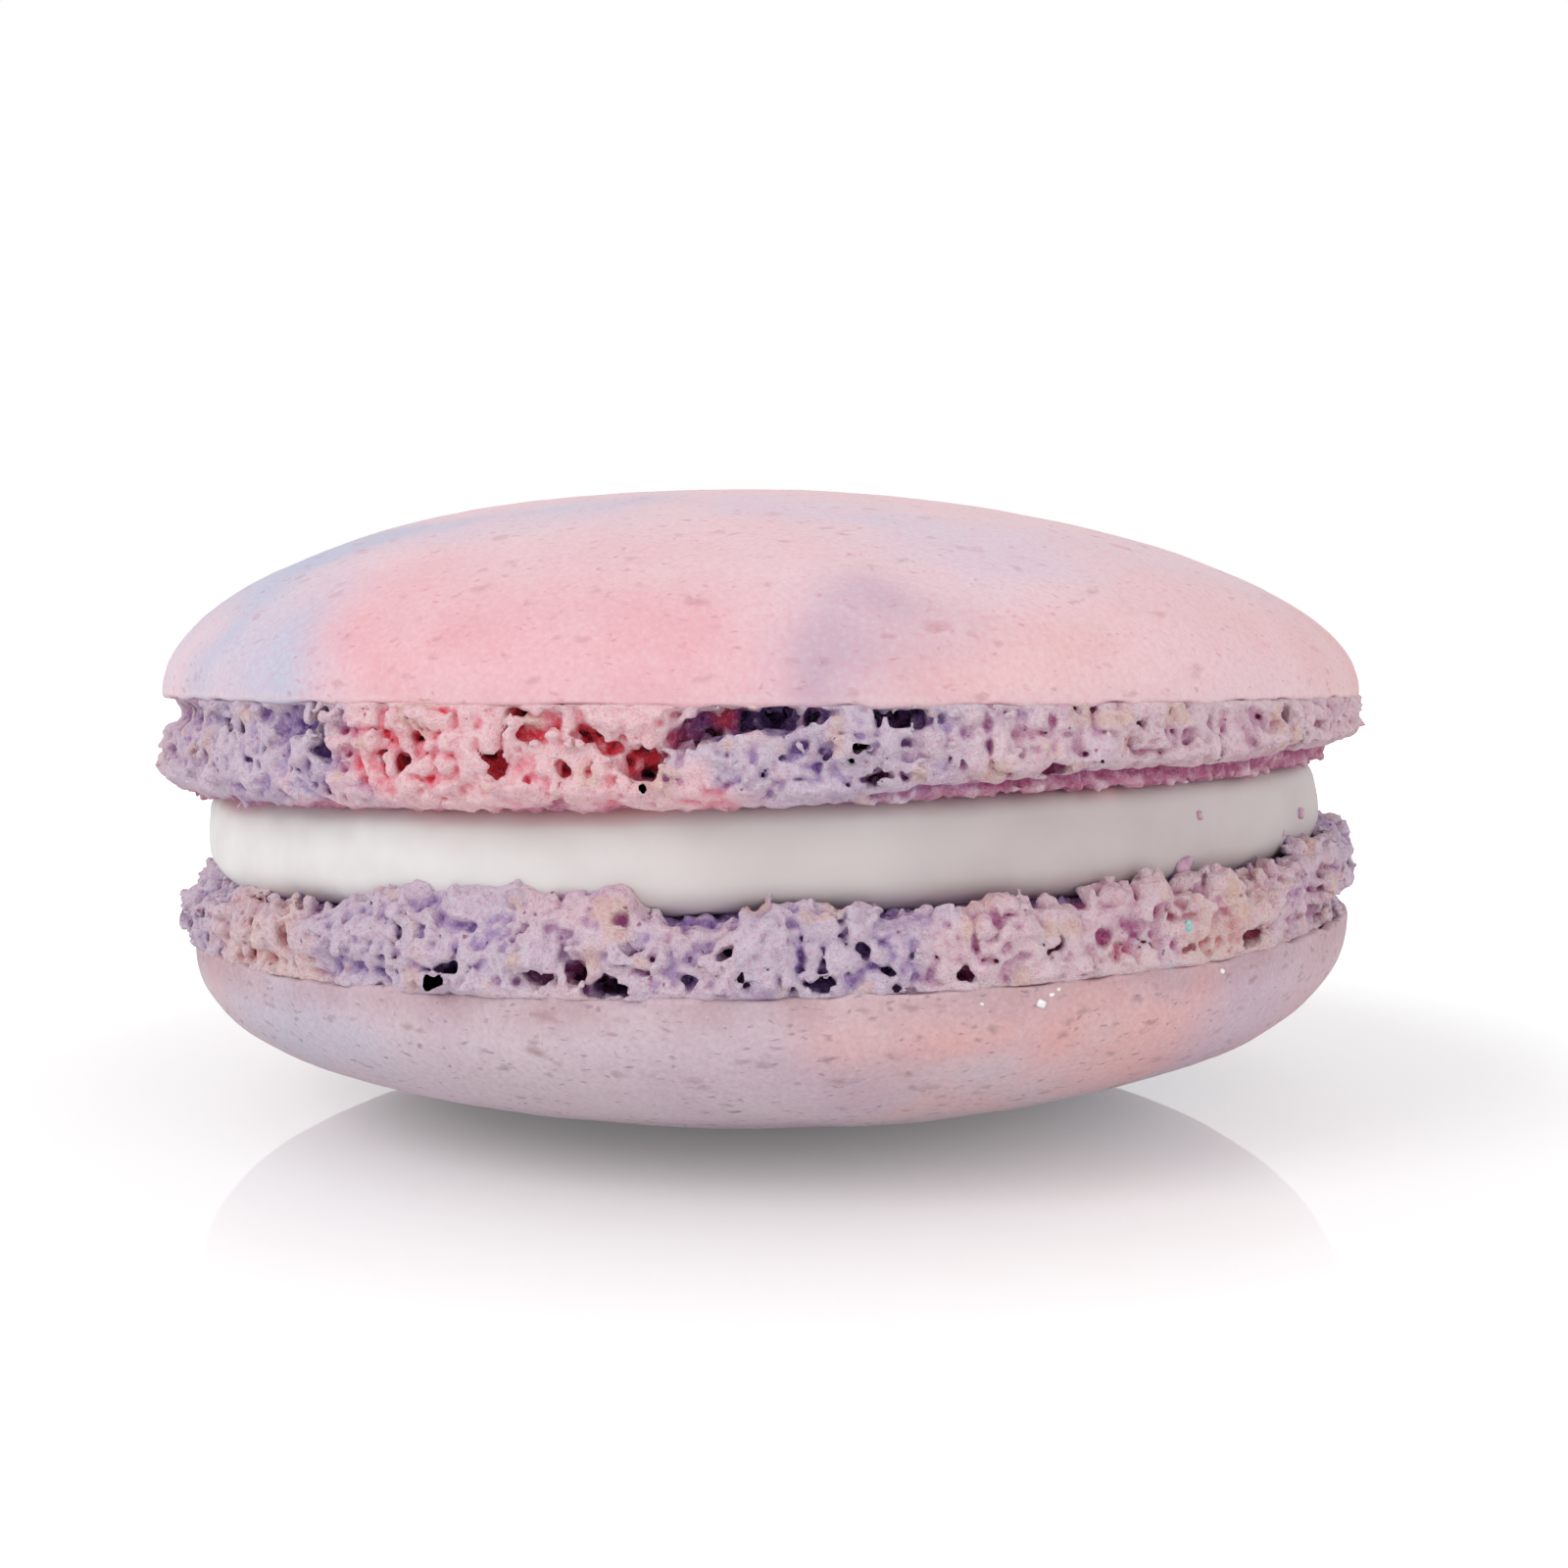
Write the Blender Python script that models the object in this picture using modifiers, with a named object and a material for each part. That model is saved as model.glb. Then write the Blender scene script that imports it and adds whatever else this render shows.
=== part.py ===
"""A French macaron: two baked almond shells, each a smooth dome over a ruffled foot, and buttercream between them.

Lengths are in metres. +Z is up, +X is to the right of the macaron's front, which faces -Y, and the
origin is the middle of the footprint on the surface that it stands on. Each shell is turned from a
section, then made uneven: the dome is fuller on its left, the foot's ruffle swells and dips, and the
baked undersides lean a little, so that one foot is taller on the left and the other on the right.
"""

import math
import random

import bpy
from mathutils import Vector, noise

MM = 0.001

# Heights above the surface that the macaron stands on.
LOWER_SKIRT_Z = 6.85 * MM
LOWER_MAT_Z = 9.20 * MM
UPPER_MAT_Z = 12.70 * MM
UPPER_SKIRT_Z = 15.75 * MM
TOP_Z = 23.35 * MM

# Radii: a shell's is that of its dome at the skirt, where the dome ends and the foot begins.
UPPER_RADIUS = 23.0 * MM
LOWER_RADIUS = 22.35 * MM
FILLING_RADIUS = 21.4 * MM

# The shells' middles stand a little apart, and all below the upper shell's skirt leans, right side up.
UPPER_SHIFT = -0.15 * MM
LOWER_SHIFT = 0.25 * MM
LEAN = math.tan(math.radians(1.6))
LOWER_SKIRT_LEAN = math.tan(math.radians(1.4))

# The flat spot under the lower dome, which the macaron rests on: how far it cuts the dome, and how wide it is.
FLAT_SPOT_DEPTH = 0.15 * MM
FLAT_SPOT_RADIUS = 4.2 * MM

# The foot: how far it stands in from the lip of the dome, at the undercut, the belly and the crest.
LIP_DROP = 0.30 * MM
UNDERCUT = 0.85 * MM
BELLY_INSET = 0.35 * MM
CREST_INSET = 0.70 * MM
CREST_WIDTH = 0.75 * MM
FOLD_DEPTH = 0.60 * MM
CRUMB_DEPTH = 0.25 * MM

# Pockets: burst bubbles that dent the foot all round, under the lip and down the belly.
POCKETS = 26
POCKET_DEPTH = (0.35 * MM, 1.10 * MM)
POCKET_WIDTH = (0.9 * MM, 2.2 * MM)
POCKET_LEVEL = (-0.75, -0.40)
POCKET_LEVEL_SPREAD = 0.26

# Touching pieces keep this distance.
GAP = 0.30 * MM

TURN_STEPS = 104
DOME_RINGS = 11


class Shell:
    """One baked shell: dome_side is 1 for a dome that points up, and -1 for one that points down.

    fullness shapes the dome: the power of its outline, how much higher that is on the left, and its root."""

    def __init__(self, name, dome_side, radius, shift, skirt_z, skirt_lean, mat_z, dome_height, fullness, crest_share, seed):
        self.name = name
        self.dome_side = dome_side
        self.radius = radius
        self.shift = shift
        self.skirt_z = skirt_z
        self.skirt_lean = skirt_lean
        self.mat_z = mat_z
        self.dome_height = dome_height
        self.fullness = fullness
        self.crest_share = crest_share
        self.seed = seed
        draw = random.Random(seed)
        self.pockets = [
            (
                math.radians(360) * (i + draw.random()) / POCKETS,
                draw.uniform(*POCKET_LEVEL),
                draw.uniform(*POCKET_WIDTH),
                draw.uniform(*POCKET_DEPTH),
            )
            for i in range(POCKETS)
        ]

    def foot_height(self):
        return abs(self.mat_z - self.skirt_z)

    def section(self):
        """(radius, level) points from the dome's middle to the middle of the baked underside.

        A level is a share of the dome's height from the skirt up, and minus a share of the foot's
        height below it, so that -1 is the baked underside."""
        lip_level = LIP_DROP / self.foot_height()
        turns = [math.radians(90) * ring / DOME_RINGS for ring in range(DOME_RINGS + 1)]
        turns[1] = math.asin(FLAT_SPOT_RADIUS / self.radius)
        dome = [(self.radius * math.sin(turn), math.cos(turn)) for turn in turns]
        belly = self.radius - BELLY_INSET
        crest = self.radius - CREST_INSET
        foot = [
            (self.radius - LIP_DROP / 2, -lip_level),
            (self.radius - UNDERCUT, -2 * lip_level),
            (belly - 0.1 * MM, -0.42),
            (belly, -0.66),
            (belly - 0.1 * MM, -0.90),
            (crest, -self.crest_share),
            (crest - CREST_WIDTH, -1.0),
            (0.5 * self.radius, -1.0),
            (0.0, -1.0),
        ]
        return dome + foot

    def dome_level(self, radius, angle):
        """How high the dome is at a radius, as a share of its height. It is fuller on the left."""
        power, skew, root = self.fullness
        share = min(1.0, radius / self.radius)
        return max(0.0, 1.0 - share ** (power - skew * math.cos(angle))) ** (1.0 / root)

    def pocket_depth(self, angle, level):
        """How deep the pockets dent the foot at an angle and a level."""
        deepest = 0.0
        for pocket_angle, pocket_level, width, depth in self.pockets:
            apart = (angle - pocket_angle + math.pi) % (2 * math.pi) - math.pi
            along = apart * self.radius / (width / 2)
            across = (level - pocket_level) / POCKET_LEVEL_SPREAD
            deepest = max(deepest, depth * math.exp(-(along**2) - across**2))
        return deepest

    def ruffle(self, angle, level):
        """How far the foot swells out at an angle and a level, below the lip."""
        around = Vector((math.cos(angle), math.sin(angle), 0.0))
        folds = noise.noise(6.0 * around + Vector((0, 0, 0.5 * level + self.seed)))
        crumbs = noise.noise(16.0 * around + Vector((0, 0, 2.5 * level - self.seed)))
        swell = FOLD_DEPTH * folds + CRUMB_DEPTH * crumbs
        return swell - self.pocket_depth(angle, level)

    def crest_wave(self, angle):
        """How far the ruffle's free edge rises or falls, as a share of the foot's height."""
        around = Vector((math.cos(angle), math.sin(angle), self.seed))
        return 0.35 * noise.noise(9.0 * around)

    def place(self, radius, level, angle):
        """The point of the finished shell for a point of its section, turned to an angle."""
        on_ruffle = -1.5 < level < -0.2 and radius > 0.9 * self.radius
        if on_ruffle:
            radius += self.ruffle(angle, level)
        if level < -1.0:
            level -= self.crest_wave(angle) * (self.crest_share - 1.0) * 2.0
        x = self.shift + radius * math.cos(angle)
        y = radius * math.sin(angle)
        if level >= 0.0:
            share = self.dome_level(radius, angle)
            z = self.skirt_z + self.skirt_lean * x * (1.0 - share) + self.dome_side * self.dome_height * share
            return Vector((x, y, max(0.0, z)))
        skirt_z = self.skirt_z + self.skirt_lean * x
        mat_z = self.mat_z + LEAN * x
        return Vector((x, y, skirt_z - (mat_z - skirt_z) * level))


def clear_scene():
    for old in list(bpy.data.objects):
        bpy.data.objects.remove(old, do_unlink=True)


def plain_material(name, colour, roughness):
    made = bpy.data.materials.new(name)
    made.use_nodes = True
    shader = made.node_tree.nodes["Principled BSDF"]
    shader.inputs["Base Color"].default_value = (*colour, 1.0)
    shader.inputs["Roughness"].default_value = roughness
    shader.inputs["Metallic"].default_value = 0.0
    return made


def turned(name, section, collection):
    """A closed solid of revolution about Z, from (radius, height) points that run down its outer side."""
    mesh = bpy.data.meshes.new(name)
    points = [(radius, 0.0, height) for radius, height in section]
    edges = [(i, i + 1) for i in range(len(points) - 1)]
    mesh.from_pydata(points, edges, [])
    made = bpy.data.objects.new(name, mesh)
    collection.objects.link(made)
    screw = made.modifiers.new("turn", "SCREW")
    screw.axis = "Z"
    screw.steps = TURN_STEPS
    screw.render_steps = TURN_STEPS
    screw.use_merge_vertices = True
    screw.merge_threshold = 0.01 * MM
    graph = bpy.context.evaluated_depsgraph_get()
    solid = bpy.data.meshes.new_from_object(made.evaluated_get(graph))
    made.modifiers.clear()
    made.data = solid
    bpy.data.meshes.remove(mesh)
    return made


def reshape(made, move):
    """Moves each point of a turned solid to move(radius, height, angle)."""
    for point in made.data.vertices:
        radius = math.hypot(point.co.x, point.co.y)
        angle = math.atan2(point.co.y, point.co.x)
        point.co = move(radius, point.co.z, angle)


def finish(made, material):
    made.data.materials.clear()
    made.data.materials.append(material)
    made.data.shade_smooth()
    made.data.set_sharp_from_angle(angle=math.radians(50))
    return made


def make_shell(shell, material, collection):
    """The shell's section is turned with its levels as heights in millimetres, then put in its place."""
    section = [(radius, level * MM) for radius, level in shell.section()]
    made = turned(shell.name, section, collection)
    reshape(made, lambda radius, height, angle: shell.place(radius, height / MM, angle))
    if shell.dome_side < 0:
        made.data.flip_normals()
    return finish(made, material)


def make_filling(material, collection):
    """A layer of buttercream that bulges at its side and rounds in at its lower edge."""
    thickness = UPPER_MAT_Z - LOWER_MAT_Z - 2 * GAP
    section = [
        (0.0, 1.00),
        (0.5, 1.00),
        (0.965, 1.00),
        (0.990, 0.86),
        (1.0, 0.62),
        (0.998, 0.40),
        (0.985, 0.20),
        (0.965, 0.07),
        (0.935, 0.0),
        (0.5, 0.0),
        (0.0, 0.0),
    ]
    turned_section = [(FILLING_RADIUS * radius, thickness * height) for radius, height in section]
    made = turned("filling", turned_section, collection)

    def slump(radius, height, angle):
        around = Vector((math.cos(angle), math.sin(angle), 0.0))
        share = radius / FILLING_RADIUS
        swell = 0.2 * MM * noise.noise(3.0 * around + Vector((0, 0, height / (2 * MM)))) * share**8
        x = (radius + swell) * math.cos(angle)
        y = (radius + swell) * math.sin(angle)
        return Vector((x, y, LOWER_MAT_Z + GAP + height + LEAN * x))

    reshape(made, slump)
    return finish(made, material)


def centre_footprint(pieces):
    """Moves the pieces together, so that the middle of their common box is over the origin."""
    points = [point.co for piece in pieces for point in piece.data.vertices]
    middle_x = (min(p.x for p in points) + max(p.x for p in points)) / 2
    middle_y = (min(p.y for p in points) + max(p.y for p in points)) / 2
    for piece in pieces:
        for point in piece.data.vertices:
            point.co.x -= middle_x
            point.co.y -= middle_y


def main():
    clear_scene()
    macaron = bpy.data.collections.new("macaron")
    bpy.context.scene.collection.children.link(macaron)
    pink = plain_material("pink_shell", (0.82, 0.44, 0.47), 0.6)
    lilac = plain_material("lilac_shell", (0.60, 0.48, 0.58), 0.6)
    cream = plain_material("buttercream", (0.78, 0.74, 0.71), 0.5)

    upper = Shell(
        name="upper_shell",
        dome_side=1,
        radius=UPPER_RADIUS,
        shift=UPPER_SHIFT,
        skirt_z=UPPER_SKIRT_Z,
        skirt_lean=0.0,
        mat_z=UPPER_MAT_Z,
        dome_height=TOP_Z - UPPER_SKIRT_Z,
        fullness=(2.05, 0.20, 1.9),
        crest_share=1.02,
        seed=4.0,
    )
    lower = Shell(
        name="lower_shell",
        dome_side=-1,
        radius=LOWER_RADIUS,
        shift=LOWER_SHIFT,
        skirt_z=LOWER_SKIRT_Z,
        skirt_lean=LOWER_SKIRT_LEAN,
        mat_z=LOWER_MAT_Z,
        dome_height=LOWER_SKIRT_Z + FLAT_SPOT_DEPTH,
        fullness=(2.10, 0.15, 2.3),
        crest_share=1.16,
        seed=9.0,
    )
    pieces = [
        make_shell(upper, pink, macaron),
        make_filling(cream, macaron),
        make_shell(lower, lilac, macaron),
    ]
    centre_footprint(pieces)


main()
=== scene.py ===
"""The looks of a French macaron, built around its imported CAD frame.

Each shell is a smooth, marbled crust over a foot of baked froth. A foot is carved out of a block of small
cells wrapped round the macaron: a ruffle swells out of it, and bubbles and caves are cut into it. The
buttercream between the shells is a turned body that sags a little.

Lengths are in millimetres in the numbers below, and in metres in Blender. An azimuth is in degrees round
the macaron, 0 at its front and 90 at its right. A drop is the distance from a shell's skirt towards its
baked underside.
"""

import itertools
import math
from dataclasses import dataclass

import bmesh
import bpy
import numpy as np
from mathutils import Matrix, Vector


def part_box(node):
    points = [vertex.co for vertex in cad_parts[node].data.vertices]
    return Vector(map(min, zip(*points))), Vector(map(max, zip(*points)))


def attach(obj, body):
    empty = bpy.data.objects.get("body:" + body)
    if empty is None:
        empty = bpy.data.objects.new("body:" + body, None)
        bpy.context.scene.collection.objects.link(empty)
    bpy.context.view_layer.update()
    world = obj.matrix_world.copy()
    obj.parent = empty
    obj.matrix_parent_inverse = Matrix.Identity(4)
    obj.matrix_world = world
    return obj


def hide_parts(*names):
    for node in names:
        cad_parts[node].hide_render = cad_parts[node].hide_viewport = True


MM = 0.001

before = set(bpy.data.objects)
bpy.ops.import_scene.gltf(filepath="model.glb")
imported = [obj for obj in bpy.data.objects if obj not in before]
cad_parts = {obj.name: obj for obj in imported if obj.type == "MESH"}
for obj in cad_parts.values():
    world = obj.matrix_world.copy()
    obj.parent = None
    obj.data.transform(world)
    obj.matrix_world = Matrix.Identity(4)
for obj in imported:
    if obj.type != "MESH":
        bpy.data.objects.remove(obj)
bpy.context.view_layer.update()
upper_shell_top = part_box("upper_shell")[1].z / MM

# The CAD's heights and leans, which the nodes' boxes don't give.
UPPER_SKIRT_Z = 15.75
LOWER_SKIRT_Z = 6.85
UPPER_MAT_Z = 12.70
LOWER_MAT_Z = 9.20
LEAN = math.tan(math.radians(1.6))
LOWER_SKIRT_LEAN = math.tan(math.radians(1.4))
FLAT_SPOT_DEPTH = 0.15

UPPER_RADIUS = 23.0
LOWER_RADIUS = 22.35
FILLING_RADIUS = 21.4
UPPER_X = 0.0
LOWER_X = 0.40
FILLING_X = 0.15


# ---- numbers


def srgb(code):
    """Linear red, green and blue of a colour written as six hex digits."""
    parts = [int(code[i : i + 2], 16) / 255 for i in (0, 2, 4)]
    return np.array([c / 12.92 if c <= 0.04045 else ((c + 0.055) / 1.055) ** 2.4 for c in parts])


def smooth(values, low, high):
    """0 below low and 1 above high, with a smooth step between them."""
    t = np.clip((values - low) / (high - low), 0.0, 1.0)
    return t * t * (3 - 2 * t)


def noise_at(points, cell, seed):
    """Smooth noise from -1 to 1 at an array of points, whose bumps are about one cell wide."""
    table = np.random.default_rng(seed).uniform(-1, 1, 65536).astype(np.float32)
    scaled = points / cell
    corner = np.floor(scaled).astype(np.int64)
    part = (scaled - corner).astype(np.float32)
    part = part * part * part * (part * (part * 6 - 15) + 10)
    total = np.zeros(points.shape[:-1], np.float32)
    for dx in (0, 1):
        weight_x = part[..., 0] if dx else 1 - part[..., 0]
        hash_x = (corner[..., 0] + dx) * 73856093
        for dy in (0, 1):
            weight_xy = weight_x * (part[..., 1] if dy else 1 - part[..., 1])
            hash_xy = hash_x ^ ((corner[..., 1] + dy) * 19349663)
            for dz in (0, 1):
                weight = weight_xy * (part[..., 2] if dz else 1 - part[..., 2])
                index = (hash_xy ^ ((corner[..., 2] + dz) * 83492791)) & 65535
                total += weight * table[index]
    return total


def noises(points, seed, *layers):
    """Layers of noise on one another, each a height and a cell's size, with seeds that follow on."""
    return sum(height * noise_at(points, cell, seed + i) for i, (height, cell) in enumerate(layers))


def towards(colours, other, share):
    """Colours, each moved by its share of the way towards another colour."""
    return colours + (other - colours) * share[:, None]


def around(azimuth, stops):
    """Values at azimuths, from stops of (azimuth, value, ...) that run once round the macaron."""
    at = np.array([stop[0] for stop in stops], float)
    at = np.concatenate([at - 360, at, at + 360])
    columns = []
    for column in range(1, len(stops[0])):
        values = np.array([stop[column] for stop in stops], float)
        columns.append(np.interp(azimuth, at, np.tile(values, 3)))
    return columns


def colour_around(azimuth, stops):
    """Linear colours at azimuths, from stops of (azimuth, colour) that run once round the macaron."""
    listed = [(stop[0], *srgb(stop[1])) for stop in stops]
    return np.stack(around(azimuth, listed), axis=-1)


def place(azimuth, radius, z, centre_x):
    """Points from azimuths in degrees, radii and heights."""
    turn = np.radians(azimuth)
    across = centre_x + radius * np.sin(turn)
    return np.stack(np.broadcast_arrays(across, -radius * np.cos(turn), z + 0 * across), axis=-1)


def azimuth_of(points, centre_x):
    return np.degrees(np.arctan2(points[:, 0] - centre_x, -points[:, 1]))


# ---- meshes


def stand(name, data):
    """Puts a new object into the scene."""
    made = bpy.data.objects.new(name, data)
    bpy.context.scene.collection.objects.link(made)
    return made


def new_piece(name, points, faces, material):
    """A smooth mesh piece from points in millimetres and triangles or quads, riding on the root body."""
    mesh = bpy.data.meshes.new(name)
    mesh.from_pydata((points * MM).tolist(), [], faces.tolist())
    mesh.validate()
    mesh.shade_smooth()
    mesh.materials.append(material)
    piece = stand(name, mesh)
    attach(piece, "root")
    return piece


def points_of(piece):
    """A piece's points in millimetres."""
    found = np.zeros(len(piece.data.vertices) * 3, np.float32)
    piece.data.vertices.foreach_get("co", found)
    return found.reshape(-1, 3) / MM


def paint(piece, name, colours):
    """Gives each point of a piece a linear colour, under an attribute's name."""
    attribute = piece.data.color_attributes.new(name, "FLOAT_COLOR", "POINT")
    opaque = np.ones((len(colours), 4), np.float32)
    opaque[:, :3] = np.clip(colours, 0.0, 1.0)
    attribute.data.foreach_set("color", opaque.ravel())


def turned_faces(rings, turns):
    """Triangles of a closed body of rings. A point for each end comes after all the rings' points."""
    ring, step = np.meshgrid(np.arange(rings - 1), np.arange(turns), indexing="ij")
    after = (step + 1) % turns
    a = ring * turns + step
    b = ring * turns + after
    halves = [np.stack([a, b, b + turns], -1), np.stack([a, b + turns, a + turns], -1)]
    sides = np.concatenate([half.reshape(-1, 3) for half in halves])
    step = np.arange(turns)
    after = (step + 1) % turns
    first = np.stack([np.full(turns, rings * turns), after, step], -1)
    last_ring = (rings - 1) * turns
    last = np.stack([np.full(turns, rings * turns + 1), last_ring + step, last_ring + after], -1)
    return np.concatenate([sides, first, last])


def turned_body(name, rings, material):
    """A closed body from an array of rings of points, of shape (rings, turns, 3)."""
    count, turns = rings.shape[:2]
    ends = np.stack([rings[0].mean(axis=0), rings[-1].mean(axis=0)])
    points = np.concatenate([rings.reshape(-1, 3), ends])
    return new_piece(name, points, turned_faces(count, turns), material)


def thinned(piece, most_triangles):
    """Leaves out the triangles that a piece's shape needs least, down to a number."""
    count = sum(len(p.vertices) - 2 for p in piece.data.polygons)
    if count <= most_triangles:
        return
    modifier = piece.modifiers.new("thin", "DECIMATE")
    modifier.ratio = most_triangles / count
    graph = bpy.context.evaluated_depsgraph_get()
    thin = bpy.data.meshes.new_from_object(piece.evaluated_get(graph))
    piece.modifiers.clear()
    old = piece.data
    piece.data = thin
    bpy.data.meshes.remove(old)
    piece.data.shade_smooth()


# ---- froth

# The block of cells: how many there are round the macaron, and their size along a drop and a radius.
TURNS = 1700
STEP = 0.085
DROP_FROM, DROP_TO = -0.45, 4.15
RADIUS_IN, RADIUS_OUT = 3.3, 0.75
MOST_TRIANGLES = 190000

# The eight corners of a cell.
CORNERS = list(itertools.product((0, 1), repeat=3))


def cell_surface(field):
    """The surface where a field crosses 0, as points in cells and quads that face out of its positive side.

    The first axis runs round and closes on itself. Each cell that the surface passes through gets one point,
    at the mean of where the surface crosses the cell's edges."""
    inside = field > 0
    turns, drops, radii = field.shape
    filled = np.zeros((turns, drops - 1, radii - 1), np.int8)
    for i, j, k in CORNERS:
        rolled = np.roll(inside, -i, axis=0)
        filled += rolled[:, j : drops - 1 + j, k : radii - 1 + k]
    cells = np.argwhere((filled > 0) & (filled < 8))
    number = np.full(filled.shape, -1, np.int64)
    number[cells[:, 0], cells[:, 1], cells[:, 2]] = np.arange(len(cells))
    at = {
        c: field[(cells[:, 0] + c[0]) % turns, cells[:, 1] + c[1], cells[:, 2] + c[2]].astype(np.float64)
        for c in CORNERS
    }
    total = np.zeros((len(cells), 3))
    crossings = np.zeros(len(cells))
    for start in CORNERS:
        for axis in range(3):
            if start[axis]:
                continue
            end = tuple(1 if a == axis else start[a] for a in range(3))
            crossed = (at[start] > 0) != (at[end] > 0)
            gap = np.where(crossed, at[start] - at[end], 1.0)
            share = np.clip(np.where(crossed, at[start] / gap, 0.0), 0.0, 1.0)
            for a in range(3):
                total[:, a] += crossed * (start[a] + (share if a == axis else 0.0))
            crossings += crossed
    points = cells + total / crossings[:, None]

    quads = []
    for axis in range(3):
        b, c = (axis + 1) % 3, (axis + 2) % 3
        changed = inside != np.roll(inside, -1, axis=axis)
        for open_axis in (1, 2):
            rows = np.moveaxis(changed, open_axis, 0)
            rows[-1] = False
            if open_axis != axis:
                rows[0] = False
        edges = np.argwhere(changed)
        outward = inside[edges[:, 0], edges[:, 1], edges[:, 2]]
        around_edge = []
        for step_b, step_c in ((-1, -1), (0, -1), (0, 0), (-1, 0)):
            cell = edges.copy()
            cell[:, b] += step_b
            cell[:, c] += step_c
            cell[:, 0] %= turns
            around_edge.append(number[cell[:, 0], cell[:, 1], cell[:, 2]])
        quad = np.stack(around_edge, axis=-1)
        quad[~outward] = quad[~outward][:, ::-1]
        quads.append(quad)
    return points, np.concatenate(quads)


def largest_part(points, quads):
    """The one connected part of a surface that has the most points."""
    label = np.arange(len(points))
    ends = np.concatenate([quads[:, [0, 1]], quads[:, [1, 2]], quads[:, [2, 3]], quads[:, [3, 0]]])
    while True:
        lowest = np.minimum(label[ends[:, 0]], label[ends[:, 1]])
        before = label.copy()
        np.minimum.at(label, ends[:, 0], lowest)
        np.minimum.at(label, ends[:, 1], lowest)
        label = label[label]
        if (label == before).all():
            break
    most = np.bincount(label).argmax()
    kept = label == most
    renumber = np.cumsum(kept) - 1
    return points[kept], renumber[quads[kept[quads[:, 0]]]]


def soften(values, reach):
    """Each sample's mean over its neighbours within about a reach. The first axis closes on itself."""
    for axis in (0, 1, 2):
        for _ in range(2):
            mode = "wrap" if axis == 0 else "edge"
            width = [(0, 0)] * 3
            width[axis] = (reach + 1, reach)
            summed = np.cumsum(np.pad(values, width, mode=mode), axis=axis, dtype=np.float64)
            count = values.shape[axis]
            high = np.take(summed, np.arange(2 * reach + 1, 2 * reach + 1 + count), axis=axis)
            low = np.take(summed, np.arange(count), axis=axis)
            values = ((high - low) / (2 * reach + 1)).astype(np.float32)
    return values


def sampled(values, cells):
    """Values of a grid at points in cells, between its samples. The first axis closes on itself."""
    turns, drops, radii = values.shape
    low = np.floor(cells).astype(int)
    part = cells - low
    total = np.zeros(len(cells))
    for corner in CORNERS:
        weight = np.prod(np.where(corner, part, 1 - part), axis=1)
        total += weight * values[
            (low[:, 0] + corner[0]) % turns,
            np.clip(low[:, 1] + corner[1], 0, drops - 1),
            np.clip(low[:, 2] + corner[2], 0, radii - 1),
        ]
    return total


def smooth_min(a, b, blend):
    """The lower of two fields, rounded where they meet."""
    share = np.clip(0.5 + 0.5 * (b - a) / blend, 0.0, 1.0)
    return b + (a - b) * share - blend * share * (1 - share)


# How far the free edge of each foot rises and falls, for the foot below a skirt and the one above.
CREST_WAVE = {-1: 0.15, 1: 0.95}

# How far the largest puffs of each foot stand out.
PUFF_HEIGHT = {-1: 0.22, 1: 0.30}

# Bubbles in a foot: how many, their smallest and largest radius, and how deep in their middles can be.
BUBBLES = [
    (14, 0.22, 0.38, 0.45),
    (80, 0.12, 0.20, 0.3),
    (260, 0.09, 0.13, 0.2),
]
BUBBLE_RAGGED = 0.3

# How far a cave's middle is inside the skirt's radius, and how much of the crumble its wall has.
CAVE_DEPTH_IN = 0.35
CAVE_RAGGED = 0.6

# How far out a cut is worked out, in its own half sizes.
CUT_MARGIN = 1.5


def samples_near(middle, half_size, count):
    """The samples along an axis that a cut can reach, from its middle and its half size."""
    reach = CUT_MARGIN * half_size + 0.2
    first = max(0, int((middle - reach) / STEP))
    return np.arange(first, min(count, int((middle + reach) / STEP) + 2))


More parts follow.
